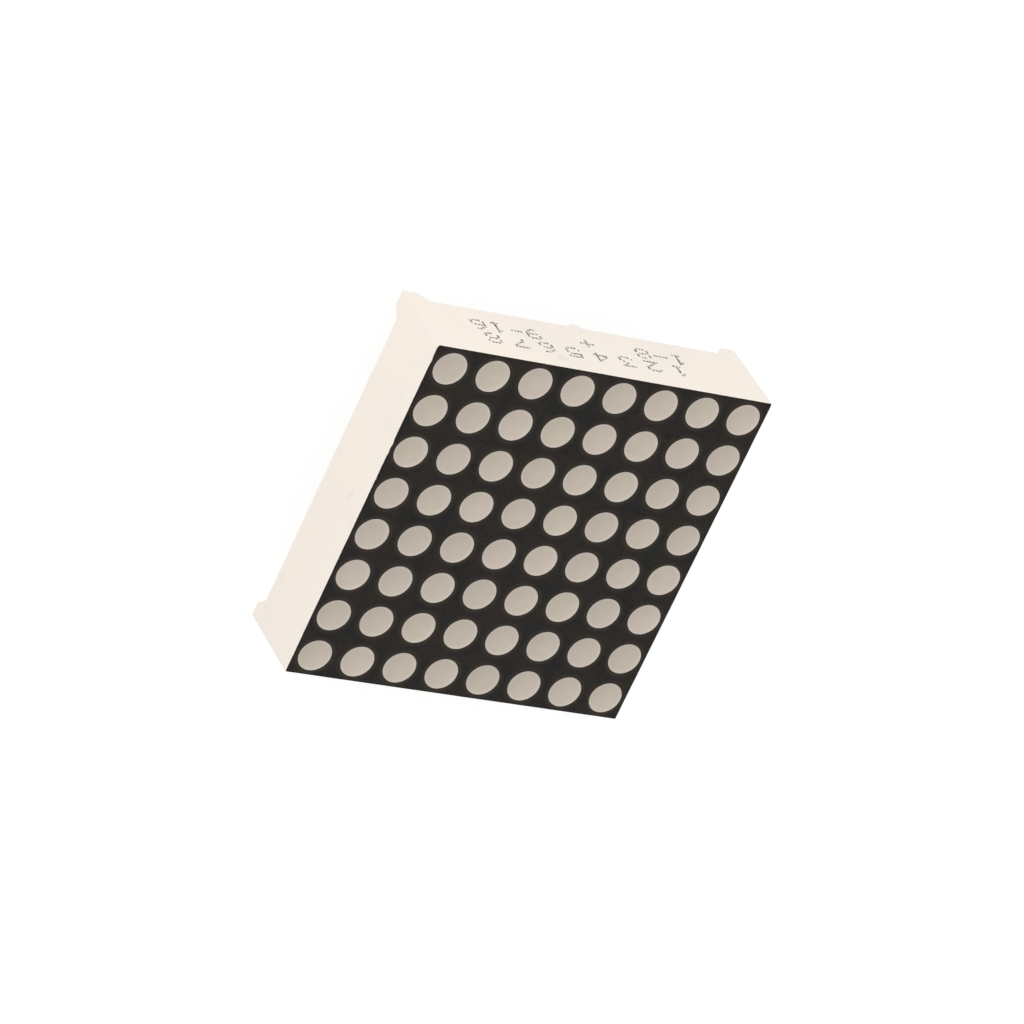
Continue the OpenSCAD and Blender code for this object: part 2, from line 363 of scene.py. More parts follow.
@dataclass(frozen=True)
class Finish(ABC):
    """A material with its colour and gloss.

    Where the pattern's rough mask is 1 it is rougher by rougher, and depth is the height
    of its relief in metres.
    """

    name: str
    colour: Colour
    roughness: float = 0.5
    metallic: float = 0.0
    specular: float = 0.5
    rougher: float = 0.12
    depth: float = 0.004 * MM

    def build(self) -> bpy.types.Material:
        """Makes the material.

        Returns:
            The material, with its colour, roughness and normal fed by its own pattern.
        """
        material = bpy.data.materials.new(self.name)
        material.use_nodes = True
        material.node_tree.nodes.clear()
        graph = Graph(material.node_tree)
        surface = self.pattern(graph, graph.place())
        bump = graph.node("Bump", {"Height": surface.height, "Distance": self.depth,
                                   "Strength": 1.0})
        shader = graph.node("BsdfPrincipled", {
            "Base Color": surface.colour, "Metallic": self.metallic,
            "Roughness": graph.ramp(surface.rough, 0.0, 1.0, self.roughness,
                                    self.roughness + self.rougher),
            "Specular IOR Level": self.specular, "Normal": bump.outputs["Normal"]})
        graph.node("OutputMaterial", {"Surface": shader.outputs[0]})
        material.diffuse_color = (*self.colour, 1.0)
        return material

    @abstractmethod
    def pattern(self, graph: Graph, place: bpy.types.NodeSocket) -> Surface:
        """Builds the finish's pattern on the Object coordinates."""

    def tone(self, factor: float, warmth: float = 0.0) -> Colour:
        """Returns the colour made lighter or darker, and warmer or cooler."""
        red, green, blue = self.colour
        return (red * factor * (1 + warmth), green * factor, blue * factor * (1 - warmth))

    @staticmethod
    def lay(graph: Graph, under: object, marks: bpy.types.NodeOutputs, share: float,
            over: Colour) -> bpy.types.NodeSocket:
        """Lays a colour over another where an effect leaves its marks.

        Args:
            graph: the material's graph.
            under: the colour below, or its socket.
            marks: the effect's outputs.
            share: how much of the new colour shows where the mask is 1.
            over: the new colour.

        Returns:
            The mixed colour.
        """
        mask = marks["Mask"]
        if "Strength" in marks:
            mask = graph.math("MULTIPLY", mask, marks["Strength"])
        return graph.mix(graph.math("MULTIPLY", mask, share), under, over)


@dataclass(frozen=True)
class IvoryPlastic(Finish):
    """Moulded ivory plastic, satin, with faint stains, specks and handling marks.

    The corners of the walls, where X and Y add up to corner_at or more, are a little darker:
    painted shade.
    """

    warm: Tone = (1.0, 0.006)
    cool: Tone = (0.975, -0.008)
    handled: Tone = (0.90, 0.005)
    stain: Colour = (0.62, 0.53, 0.43)
    speck: Colour = (0.30, 0.24, 0.19)
    stain_share: float = 0.10
    rub_share: float = 0.34
    speck_share: float = 0.42
    corner_at: float = 31.74 * MM
    corner_w: float = 0.06 * MM
    rougher: float = 0.08
    depth: float = 0.0035 * MM

    def pattern(self, graph: Graph, place: bpy.types.NodeSocket) -> Surface:
        """Mixes two ivories, then lays the stains, the painted corner shade and specks over them.
        """
        wide = Blotches.use(graph, place, Size=9 * MM, Share=0.5, Softness=0.22)["Mask"]
        colour = graph.mix(wide, self.tone(*self.warm), self.tone(*self.cool))
        cloudy = Blotches.use(graph, place, Size=2.4 * MM, Share=0.10, Softness=0.08, Detail=6.0)
        colour = self.lay(graph, colour, cloudy, self.stain_share, self.stain)
        rubs = Smudges.use(graph, place, Cell=4.2 * MM, Width=0.15, Share=0.55,
                           Ragged=0.6 * MM, Warp=1.6 * MM)
        colour = self.lay(graph, colour, rubs, self.rub_share, self.stain)
        parts = graph.parts(graph.vector("ABSOLUTE", place))
        outward = graph.math("ADD", parts["X"], parts["Y"])
        # painted shade: the outer corners of the walls are darkened
        corner = graph.ramp(outward, self.corner_at, self.corner_at + self.corner_w)
        colour = graph.mix(corner, colour, self.tone(*self.handled))
        marks = Specks.use(graph, place, Cell=2.2 * MM, Width=0.09, Share=0.16)
        colour = self.lay(graph, colour, marks, self.speck_share, self.speck)
        grain = Grain.use(graph, place, Size=0.11 * MM, Coarse_Share=2.2)
        return Surface(colour, wide, grain["Height"])


@dataclass(frozen=True)
class BlackInk(Finish):
    """The matt black layer, mottled brown and green, with dust in it.

    It is thin in a ring from hole_r outwards round each dot.
    """

    brown: Colour = (0.023, 0.0165, 0.0105)
    green: Colour = (0.0055, 0.0072, 0.0088)
    thin: Colour = (0.046, 0.034, 0.024)
    dust: Colour = (0.20, 0.18, 0.15)
    brown_share: float = 0.6
    green_share: float = 0.7
    mottle_share: float = 0.20
    ring_share: float = 0.55
    dust_share: float = 0.55
    pitch: float = 4 * MM
    hole_r: float = 1.47 * MM
    ring_w: float = 0.5 * MM
    depth: float = 0.006 * MM

    def pattern(self, graph: Graph, place: bpy.types.NodeSocket) -> Surface:
        """Mixes the mottle, thins the layer round the dots and scatters the dust."""
        warm = Blotches.use(graph, place, Size=0.7 * MM, Share=0.42, Softness=0.14, Detail=6.0)
        colour = self.lay(graph, self.colour, warm, self.brown_share, self.brown)
        cool = Blotches.use(graph, place, Size=1.7 * MM, Share=0.40, Softness=0.14, Detail=6.0)
        colour = self.lay(graph, colour, cool, self.green_share, self.green)
        fine = Blotches.use(graph, place, Size=0.22 * MM, Share=0.40, Softness=0.12)
        colour = self.lay(graph, colour, fine, self.mottle_share, self.thin)
        radius = DotField.use(graph, place, Pitch=self.pitch)["Radius"]
        worn = graph.ramp(radius, self.hole_r, self.hole_r + self.ring_w, self.ring_share, 0.0)
        colour = graph.mix(worn, colour, self.thin)
        dust = Specks.use(graph, place, Cell=0.8 * MM, Width=0.11, Share=0.09)
        colour = self.lay(graph, colour, dust, self.dust_share, self.dust)
        grain = Grain.use(graph, place, Size=0.07 * MM, Coarse_Share=1.2)
        return Surface(colour, warm["Mask"], grain["Height"])


@dataclass(frozen=True)
class MilkyResin(Finish):
    """Milky casting resin, each dot of a tint of its own, with painted light making it lighter at
    its rim.

    Below front_z it is the thicker resin behind the light cups.
    """

    pink: Colour = (0.515, 0.440, 0.378)
    yellow: Colour = (0.488, 0.438, 0.353)
    pale: Colour = (0.575, 0.548, 0.508)
    fleck: Colour = (0.33, 0.27, 0.22)
    thick: Colour = (0.72, 0.665, 0.575)
    darker: float = 0.945
    cloudy: Tone = (0.86, 0.03)
    rim_from: float = 0.70
    rim_share: float = 0.46
    cloud_share: float = 0.16
    fleck_share: float = 0.35
    pitch: float = 4 * MM
    dot_r: float = 1.5 * MM
    front_z: float = 10 * MM
    front_blend: float = 0.1 * MM
    rougher: float = 0.10

    def pattern(self, graph: Graph, place: bpy.types.NodeSocket) -> Surface:
        """Tints each dot, then adds the painted rim light, clouds and flecks."""
        dots = DotField.use(graph, place, Pitch=self.pitch)
        front = graph.ramp(graph.parts(place)["Z"], self.front_z - self.front_blend, self.front_z)
        tint = graph.mix(dots["Tint"], self.pink, self.yellow)
        colour = graph.mix(front, self.thick, tint)
        share = graph.math("MULTIPLY", dots["Tone"], front)
        colour = graph.mix(share, colour, self.tone(self.darker))
        # painted light: each dot paler towards its rim, standing in for light from the white cup
        # wall coming through the thin resin there
        rim = graph.ramp(dots["Radius"], self.rim_from * self.dot_r, self.dot_r,
                         0.0, self.rim_share)
        colour = graph.mix(graph.math("MULTIPLY", rim, front), colour, self.pale)
        cloud = Blotches.use(graph, place, Size=0.9 * MM, Share=0.45, Softness=0.2)
        colour = self.lay(graph, colour, cloud, self.cloud_share, self.tone(*self.cloudy))
        flecks = Specks.use(graph, place, Cell=0.9 * MM, Width=0.1, Share=0.10)
        colour = self.lay(graph, colour, flecks, self.fleck_share, self.fleck)
        grain = Grain.use(graph, place, Size=0.16 * MM, Coarse_Share=2.5)
        return Surface(colour, cloud["Mask"], grain["Height"])


@dataclass(frozen=True)
class PlainMetal(Finish):
    """Wire, foil or solder: a clean metal with duller patches and fine marks.

    Up to core_z, where the shears cut the wire, the metal under the tin shows.
    """

    dull: float = 0.86
    dull_warmth: float = 0.03
    patch: float = 1.6 * MM
    core: Colour = (0.70, 0.50, 0.40)
    core_z: float = 0.035 * MM
    core_blend: float = 0.04 * MM
    core_share: float = 0.7
    depth: float = 0.0008 * MM

    def pattern(self, graph: Graph, place: bpy.types.NodeSocket) -> Surface:
        """Dulls the metal in patches, and bares its cut end."""
        patches = Blotches.use(graph, place, Size=self.patch, Share=0.4, Softness=0.18)["Mask"]
        colour = graph.mix(patches, self.colour, self.tone(self.dull, self.dull_warmth))
        bare = graph.ramp(graph.parts(place)["Z"], self.core_z, self.core_z + self.core_blend,
                          self.core_share, 0.0)
        grain = Grain.use(graph, place, Size=0.3 * MM, Coarse_Share=1.0)
        return Surface(graph.mix(bare, colour, self.core), patches, grain["Height"])


@dataclass(frozen=True)
class MaskedBoard(Finish):
    """White solder mask, a little glossy, over the weave of the glass cloth."""

    weave: float = 0.4 * MM
    bands: float = 0.3
    uneven: Tone = (0.93, 0.01)
    thread: Tone = (0.8, 0.02)
    thread_share: float = 0.12
    rougher: float = 0.08
    depth: float = 0.006 * MM

    def pattern(self, graph: Graph, place: bpy.types.NodeSocket) -> Surface:
        """Crosses two waves for the cloth, under a slightly uneven white."""
        waves = [graph.node("TexWave", {"Vector": place, "Scale": self.bands / self.weave},
                            bands_direction=axis).outputs["Fac"] for axis in "XY"]
        cloth = graph.math("MULTIPLY", *waves)
        blotch = Blotches.use(graph, place, Size=3 * MM, Share=0.5, Softness=0.2)["Mask"]
        colour = graph.mix(blotch, self.colour, self.tone(*self.uneven))
        threads = graph.math("MULTIPLY", cloth, self.thread_share)
        return Surface(graph.mix(threads, colour, self.tone(*self.thread)), blotch, cloth)


@dataclass(frozen=True)
class SawnCrystal(Finish):
    """A chip: a clear bluish crystal with sawn sides and a bright contact on top."""

    contact: Colour = (0.86, 0.72, 0.38)
    contact_share: float = 0.5
    top_z: float = 8.7 * MM
    top_blend: float = 0.09 * MM
    saw_scale: float = 22000.0
    saw_detail: float = 3.0
    sawn: float = 0.7
    rougher: float = 0.2

    def pattern(self, graph: Graph, place: bpy.types.NodeSocket) -> Surface:
        """Marks the sides, and turns the upper face to its contact colour."""
        high = graph.ramp(graph.parts(place)["Z"], self.top_z, self.top_z + self.top_blend)
        saw = graph.noise(place, self.saw_scale, self.saw_detail)["Fac"]
        side = graph.mix(saw, self.colour, self.tone(self.sawn))
        share = graph.math("MULTIPLY", high, self.contact_share)
        return Surface(graph.mix(share, side, self.contact), saw, saw)


@dataclass(frozen=True)
class JetInk(Finish):
    """The thin dark grey ink of the printed numbers, paler where it was sparse."""

    sparse: Colour = (0.285, 0.245, 0.20)
    spread_scale: float = 3000.0
    spread_detail: float = 3.0
    dense_at: float = 0.38
    sparse_at: float = 0.66
    rougher: float = 0.2
    depth: float = 0.003 * MM

    def pattern(self, graph: Graph, place: bpy.types.NodeSocket) -> Surface:
        """Mixes dense and sparse ink."""
        spread = graph.noise(place, self.spread_scale, self.spread_detail)["Fac"]
        share = graph.ramp(spread, self.dense_at, self.sparse_at)
        return Surface(graph.mix(share, self.colour, self.sparse), share, spread)


@dataclass(frozen=True)
class Finishes:
    """Every finish of the object, by its slot in the record."""

    library: dict[Slot, Finish] = field(default_factory=lambda: {
        Slot.IVORY: IvoryPlastic("Ivory plastic", (0.90, 0.82, 0.735), roughness=0.42),
        Slot.BLACK: BlackInk("Black layer", (0.0120, 0.0105, 0.0088), roughness=0.60,
                             specular=0.12),
        Slot.RESIN: MilkyResin("Milky resin", (0.492, 0.431, 0.363), roughness=0.42,
                               specular=0.4),
        Slot.BOARD: MaskedBoard("Masked board", (0.82, 0.82, 0.78), roughness=0.35),
        Slot.WIRE: PlainMetal("Tinned wire", (0.56, 0.55, 0.53), roughness=0.26, metallic=1.0),
        Slot.SOLDER: PlainMetal("Solder", (0.74, 0.73, 0.71), roughness=0.30, metallic=1.0,
                                patch=0.3 * MM),
        Slot.COPPER: PlainMetal("Copper foil", (0.86, 0.50, 0.34), roughness=0.34,
                                metallic=1.0, dull=0.6),
        Slot.GOLD: PlainMetal("Gold wire", (0.95, 0.74, 0.34), roughness=0.20, metallic=1.0,
                              depth=0.001 * MM),
        Slot.CHIP: SawnCrystal("Sawn crystal", (0.42, 0.55, 0.72), roughness=0.22),
    })
    print_ink: Finish = JetInk("Jet ink", (0.080, 0.066, 0.053), roughness=0.6)

    def dress_frame(self, nodes: dict[str, bpy.types.Object],
                    slots: dict[str, str]) -> dict[Slot, bpy.types.Material]:
        """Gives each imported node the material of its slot.

        Args:
            nodes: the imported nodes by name.
            slots: the record's slot of each node.

        Returns:
            The materials by slot, for the new pieces.
        """
        made = {slot: finish.build() for slot, finish in self.library.items()}
        for name, node in nodes.items():
            slot = Slot(slots[name])
            node.data.materials.clear()
            node.data.materials.append(made[slot])
            LOG.info("node %s: %s", name, made[slot].name)
        return made


# ------------------------------------------------------------------ pieces


class Shape:
    """A mesh under work, which ends as a piece of the object."""

    merge = 0.0005 * MM

    def __init__(self) -> None:
        """Starts an empty mesh."""
        self.bm = bmesh.new()

    def move(self, verts: Iterable[bmesh.types.BMVert],
             rule: Callable[[Vector], Vector]) -> None:
        """Moves vertices.

        Args:
            verts: the vertices.
            rule: gives the new place of an old one.
        """
        for vert in verts:
            vert.co = rule(vert.co.copy())

    def turned(self, profile: Sequence[tuple[float, float]], centre: Vector,
               steps: int) -> list[bmesh.types.BMVert]:
        """Spins a profile round an upright axis.

        Args:
            profile: points (radius, height) in metres, from one end to the other.
            centre: a point of the axis, which the heights count from.
            steps: the number of steps in a full turn.

        Returns:
            The vertices of the new shape.
        """
        before = set(self.bm.verts)
        chain = [self.bm.verts.new(centre + Vector((r, 0, z))) for r, z in profile]
        edges = [self.bm.edges.new(pair) for pair in zip(chain, chain[1:])]
        bmesh.ops.spin(self.bm, geom=chain + edges, cent=centre, axis=(0, 0, 1),
                       angle=math.tau, steps=steps, use_merge=True)
        made = [v for v in self.bm.verts if v not in before]
        bmesh.ops.remove_doubles(self.bm, verts=made, dist=self.merge)
        return [v for v in self.bm.verts if v not in before]

    def grow(self, faces: Sequence[bmesh.types.BMFace], way: Vector) -> None:
        """Gives an open sheet a thickness.

        Args:
            faces: the sheet.
            way: from the sheet to its other side.
        """
        made = bmesh.ops.extrude_face_region(self.bm, geom=faces)["geom"]
        verts = [g for g in made if isinstance(g, bmesh.types.BMVert)]
        bmesh.ops.translate(self.bm, verts=verts, vec=way)

    def finish(self, name: str, material: bpy.types.Material, slot: Slot,
               stands_for: Sequence[str] = (), crease: float = 35.0) -> bpy.types.Object:
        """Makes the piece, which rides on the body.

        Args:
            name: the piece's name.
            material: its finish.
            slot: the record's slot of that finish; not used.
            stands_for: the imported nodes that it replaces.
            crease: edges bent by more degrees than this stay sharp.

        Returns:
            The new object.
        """
        bm = self.bm
        bmesh.ops.recalc_face_normals(bm, faces=bm.faces)
        for face in bm.faces:
            face.smooth = True
        for edge in bm.edges:
            edge.smooth = edge.calc_face_angle(0.0) < math.radians(crease)
        mesh = bpy.data.meshes.new(name)
        bm.to_mesh(mesh)
        bm.free()
        mesh.materials.append(material)
        piece = bpy.data.objects.new(name, mesh)
        bpy.context.scene.collection.objects.link(piece)
        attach(piece, BODY)
        if stands_for:
            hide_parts(*stands_for)
        LOG.info("piece %s: %d faces", name, len(mesh.polygons))
        return piece


@dataclass(frozen=True)
class DotGrid:
    """The grid of dots, with the places that the other pieces share."""

    face_z: float
    count: int = 8
    pitch: float = 4 * MM

    def centres(self) -> list[Vector]:
        """Returns the middle of each dot on the face, row by row from +Y."""
        half = (self.count - 1) / 2
        return [Vector(((i - half) * self.pitch, (half - j) * self.pitch, self.face_z))
                for j in range(self.count) for i in range(self.count)]


@dataclass(frozen=True)
class Nibbles:
    """How far the black layer's edge is worn back, in mm, with noise scales in 1/m."""

    back: float = 0.010
    wave: float = 0.010
    wave_scale: float = 900.0
    bite: float = 0.35
    bite_scale: float = 1500.0
    bite_seed: Vector = Vector((3.1, 0.7, 5.3))
    bite_level: float = 0.42
    chip: float = 0.012
    chip_scale: float = 4000.0

    def depth(self, place: Vector, bitten: bool) -> float:
        """Returns the depth at a point, which is deeper in places along a bitten side."""
        depth = self.back + self.wave * noise.noise(place * self.wave_scale)
        if bitten:
            bite = noise.noise(place * self.bite_scale + self.bite_seed) - self.bite_level
            chips = self.chip * noise.noise(place * self.chip_scale)
            depth += self.bite * max(0.0, bite) + chips
        return max(0.0, depth)


@dataclass(frozen=True)
class FaceLayer:
    """The black layer: open at each dot, a little ragged along its outer edge."""

    grid: DotGrid
    low: Vector
    high: Vector
    nibbles: Nibbles = Nibbles()
    corner_r: float = 0.10 * MM
    hole_r: float = 1.475 * MM
    hole_steps: int = 64
    edge_cuts: int = 3
    rim_bevel: float = 0.012 * MM
    rim_bend: float = 60.0
    merge: float = 0.002 * MM
    near: float = 0.001 * MM
    cut_near: float = 0.00001 * MM

    def cell(self, bm: bmesh.types.BMesh) -> list:
        """Makes one square of the layer round its hole, and returns its geometry."""
        half = self.grid.pitch / 2
        for radius in (self.hole_r, half):
            bmesh.ops.create_circle(bm, cap_ends=False, segments=self.hole_steps, radius=radius)
        for vert in bm.verts:
            if vert.co.length > (self.hole_r + half) / 2:
                vert.co *= half / max(abs(vert.co.x), abs(vert.co.y))
        bmesh.ops.bridge_loops(bm, edges=bm.edges[:])
        return bm.verts[:] + bm.edges[:] + bm.faces[:]

    def trim(self, bm: bmesh.types.BMesh) -> None:
        """Cuts the outer squares back to the layer's own edge."""
        for axis in (0, 1):
            for sign, corner in ((-1, self.low), (1, self.high)):
                normal = Vector((0, 0, 0))
                normal[axis] = sign
                bmesh.ops.bisect_plane(
                    bm, geom=bm.verts[:] + bm.edges[:] + bm.faces[:], dist=self.cut_near,
                    plane_co=corner, plane_no=normal, clear_outer=True)

    def ragged(self, place: Vector) -> Vector:
        """Rounds a corner of the outline and nibbles its edge.

        Args:
            place: a point of the outline.

        Returns:
            The point after the rounding and the nibbling.
        """
        straight = self.high.x - self.corner_r
        core = Vector((max(-straight, min(straight, place.x)),
                       max(-straight, min(straight, place.y)), place.z))
        out = place - core
        if min(abs(place.x), abs(place.y)) > straight:
            out = out.normalized() * self.corner_r
        depth = self.nibbles.depth(place, place.x < -straight)
        return core + out - out.normalized() * depth * MM

    def build(self, material: bpy.types.Material) -> bpy.types.Object:
        """Makes the layer.

        Args:
            material: its finish.

        Returns:
            The piece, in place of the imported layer.
        """
        shape = Shape()
        bm = shape.bm
        first = self.cell(bm)
        for centre in self.grid.centres():
            copied = bmesh.ops.duplicate(bm, geom=first)["geom"]
            verts = [g for g in copied if isinstance(g, bmesh.types.BMVert)]
            bmesh.ops.translate(bm, verts=verts, vec=Vector((centre.x, centre.y, self.low.z)))
        bmesh.ops.delete(bm, geom=[v for v in first if isinstance(v, bmesh.types.BMVert)],
                         context="VERTS")
        bmesh.ops.remove_doubles(bm, verts=bm.verts, dist=self.merge)
        self.trim(bm)
        limit = self.high.x - self.near
        outer = [e for e in bm.edges if e.is_boundary and all(
            max(abs(v.co.x), abs(v.co.y)) > limit for v in e.verts)]
        bmesh.ops.subdivide_edges(bm, edges=outer, cuts=self.edge_cuts)
        rim = [v for v in bm.verts if max(abs(v.co.x), abs(v.co.y)) > limit]
        shape.move(rim, self.ragged)
        shape.grow(bm.faces[:], Vector((0, 0, self.high.z - self.low.z)))
        level = self.high.z - self.near
        edges = [e for e in bm.edges if all(v.co.z > level for v in e.verts)
                 and abs(e.calc_face_angle(0.0)) > math.radians(self.rim_bend)]
        bmesh.ops.bevel(bm, geom=edges, offset=self.rim_bevel, offset_type="OFFSET",
                        segments=2, profile=0.5, affect="EDGES", material=-1,
                        clamp_overlap=True)
        return shape.finish("face_layer", material, Slot.BLACK, ["face_mask"])


@dataclass(frozen=True)
class DotCap:
    """The front end of the casting in one cup: a shallow dish, sunk a little in its hole.

    Each share of shares gives a ring of the dish, from its middle to its rim.
    """

    radius: float = 1.467 * MM
    sink: float = 0.03 * MM
    dish: float = 0.22 * MM
    shallow: float = 0.85
    deep: float = 1.1
    bend: float = 1.7
    climb: float = 0.015 * MM
    climb_from: float = 0.9
    shares: tuple[float, ...] = (0.0, 0.18, 0.36, 0.54, 0.7, 0.82, 0.9, 0.955, 0.985, 1.0)
    thick: float = 0.35 * MM
    taper: float = 0.02 * MM
    back_margin: float = 0.05 * MM
    tilt: float = 0.006
    ripple: float = 0.006 * MM
    ripple_scale: float = 700.0
    seed_span: float = 40.0
    steps: int = 40

    def height(self, share: float, depth: float) -> float:
        """Returns the height of the surface at a share of the radius."""
        risen = max(0.0, (share - self.climb_from) / (1 - self.climb_from))
        return -self.sink - depth * (1 - share ** self.bend) + self.climb * risen ** 2

    def add(self, shape: Shape, centre: Vector, draw: random.Random) -> None:
        """Adds one dot, a little tilted and deeper or shallower than the next.

        Args:
            shape: the mesh that takes it.
            centre: its middle on the face.
            draw: the source of its irregularities.
        """
        depth = self.dish * draw.uniform(self.shallow, self.deep)
        profile = [(self.radius * share, self.height(share, depth)) for share in self.shares]
        profile += [(self.radius - self.taper, -self.thick), (0, -self.thick)]
        made = shape.turned(profile, centre, self.steps)
        lean = Vector((draw.uniform(-1, 1), draw.uniform(-1, 1))) * self.tilt
        seed = Vector((draw.random(), draw.random(), draw.random())) * self.seed_span

        def settle(place: Vector) -> Vector:
            """Tilts and ripples the surface away from its rim."""
            flat = place - centre
            share = max(0.0, 1 - (flat.xy.length / self.radius) ** 2)
            tilted = (flat.x * lean.x + flat.y * lean.y) * min(1.0, 2 * share)
            ripple = self.ripple * noise.noise(place * self.ripple_scale + seed) * share
            return place + Vector((0, 0, tilted + ripple))

        back = centre.z - self.thick + self.back_margin
        shape.move([v for v in made if v.co.z > back], settle)


@dataclass(frozen=True)
class RearPotting:
    """The surface of the potting behind, with a small climb at the walls and pins."""

    surface_z: float
    half: float
    lines: int = 56
    thick: float = 0.15 * MM
    lift: float = 0.02 * MM
    wall_climb: float = 0.22 * MM
    wall_reach: float = 0.28 * MM
    wave: float = 0.035 * MM
    wave_scale: float = 120.0
    pin_climb: tuple[tuple[float, float], ...] = (
        (0.25 * MM, -0.24 * MM), (0.265 * MM, -0.15 * MM), (0.31 * MM, -0.07 * MM),
        (0.40 * MM, -0.015 * MM), (0.58 * MM, 0.06 * MM), (0.22 * MM, 0.06 * MM),
        (0.22 * MM, -0.24 * MM), (0.25 * MM, -0.24 * MM))
    pin_steps: int = 24

    def settle(self, place: Vector) -> Vector:
        """Crowds the grid's lines near the walls and sets the height.

        Args:
            place: a point of a grid that reaches from -1 to 1.

        Returns:
            Its place on the potting.
        """
        x, y = (math.sin(0.5 * math.pi * c) * self.half for c in place.xy)
        gap = self.half - max(abs(x), abs(y))
        climb = self.wall_climb * math.exp(-gap / self.wall_reach)
        wave = self.wave * noise.noise(Vector((x, y, 0)) * self.wave_scale)
        return Vector((x, y, self.surface_z + self.lift + wave - climb))

    def add(self, shape: Shape, pins: Sequence[Vector]) -> None:
        """Adds the surface, closed behind, and the resin that climbs each pin.

        Args:
            shape: the mesh that takes them.
            pins: the middle of each pin.
        """
        bm = shape.bm
        made = bmesh.ops.create_grid(bm, x_segments=self.lines, y_segments=self.lines, size=1.0)
        shape.move(made["verts"], self.settle)
        edges = [e for e in bm.edges if e.is_boundary]
        skirt = bmesh.ops.extrude_edge_only(bm, edges=edges)["geom"]
        for vert in (g for g in skirt if isinstance(g, bmesh.types.BMVert)):
            vert.co.z = self.surface_z + self.thick
        bmesh.ops.edgeloop_fill(bm, edges=[e for e in bm.edges if e.is_boundary])
        for pin in pins:
            shape.turned(self.pin_climb, Vector((pin.x, pin.y, self.surface_z)), self.pin_steps)


@dataclass(frozen=True)
class ResinFill:
    """The casting, where it shows: a dot in each cup, and the potting behind."""

    grid: DotGrid
    cap: DotCap
    potting: RearPotting
    seed: int = 8

    def build(self, material: bpy.types.Material,
              pins: Sequence[Vector]) -> list[bpy.types.Object]:
        """Makes the dots and the surface behind.

        Args:
            material: their finish.
            pins: the middle of each pin.

        Returns:
            The two pieces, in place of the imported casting.
        """
        draw = random.Random(self.seed)
        front, behind = Shape(), Shape()
        for centre in self.grid.centres():
            self.cap.add(front, centre, draw)
        self.potting.add(behind, pins)
        return [shape.finish(name, material, Slot.RESIN, ["epoxy_fill"])
                for name, shape in (("resin_dots", front), ("resin_behind", behind))]


@dataclass(frozen=True)
class WirePin:
    """One pin: round tinned wire, cut at its tip and a little uneven from the tin.

    tip holds radii as shares of the wire's and heights in mm, and stops holds heights in mm.
    """

    node: str
    radius: float = 0.25 * MM
    steps: int = 28
    tip: tuple[tuple[float, float], ...] = (
        (0, 0), (0.5, 0.002), (0.60, 0.02), (0.78, 0.07), (0.93, 0.12), (0.985, 0.17))
    stops: tuple[float, ...] = (0.3, 0.6, 1.1, 1.7, 2.4, 3.1, 3.8, 4.4, 5.0, 5.6, 6.2, 6.8)
    thinner: float = 0.02
    shoulder_share: float = 0.985
    head_share: float = 0.9
    head_h: float = 0.02 * MM
    cut_h: float = 0.2 * MM
    slant: float = 0.06 * MM
    crease: float = 50.0

    def build(self, material: bpy.types.Material, seed: int) -> bpy.types.Object:
        """Makes the pin.

        Args:
            material: its finish.
            seed: the number that its unevenness follows from.

        Returns:
            The piece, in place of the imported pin.
        """
        low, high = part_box(self.node)
        draw = random.Random(seed)
        centre = Vector(((low.x + high.x) / 2, (low.y + high.y) / 2, low.z))
        length = high.z - low.z
        r = self.radius
        profile = [(share * r, z * MM) for share, z in self.tip]
        profile += [(r * (1 - draw.uniform(0, self.thinner)), z * MM) for z in self.stops]
        profile += [(self.shoulder_share * r, length - self.head_h),
                    (self.head_share * r, length), (0, length)]
        shape = Shape()
        made = shape.turned(profile, centre, self.steps)
        burr = draw.uniform(0, math.tau)
        away = Vector((math.cos(burr), math.sin(burr), 0))

        def cut(place: Vector) -> Vector:
            """Slants the end as the shears leave it."""
            flat = place - centre
            if flat.z > self.cut_h:
                return place
            share = 1 - flat.z / self.cut_h
            rise = self.slant * share * (0.5 + 0.5 * flat.dot(away) / r)
            return place + Vector((0, 0, rise))

        shape.move(made, cut)
        return shape.finish(self.node + "_wire", material, Slot.WIRE, [self.node], self.crease)


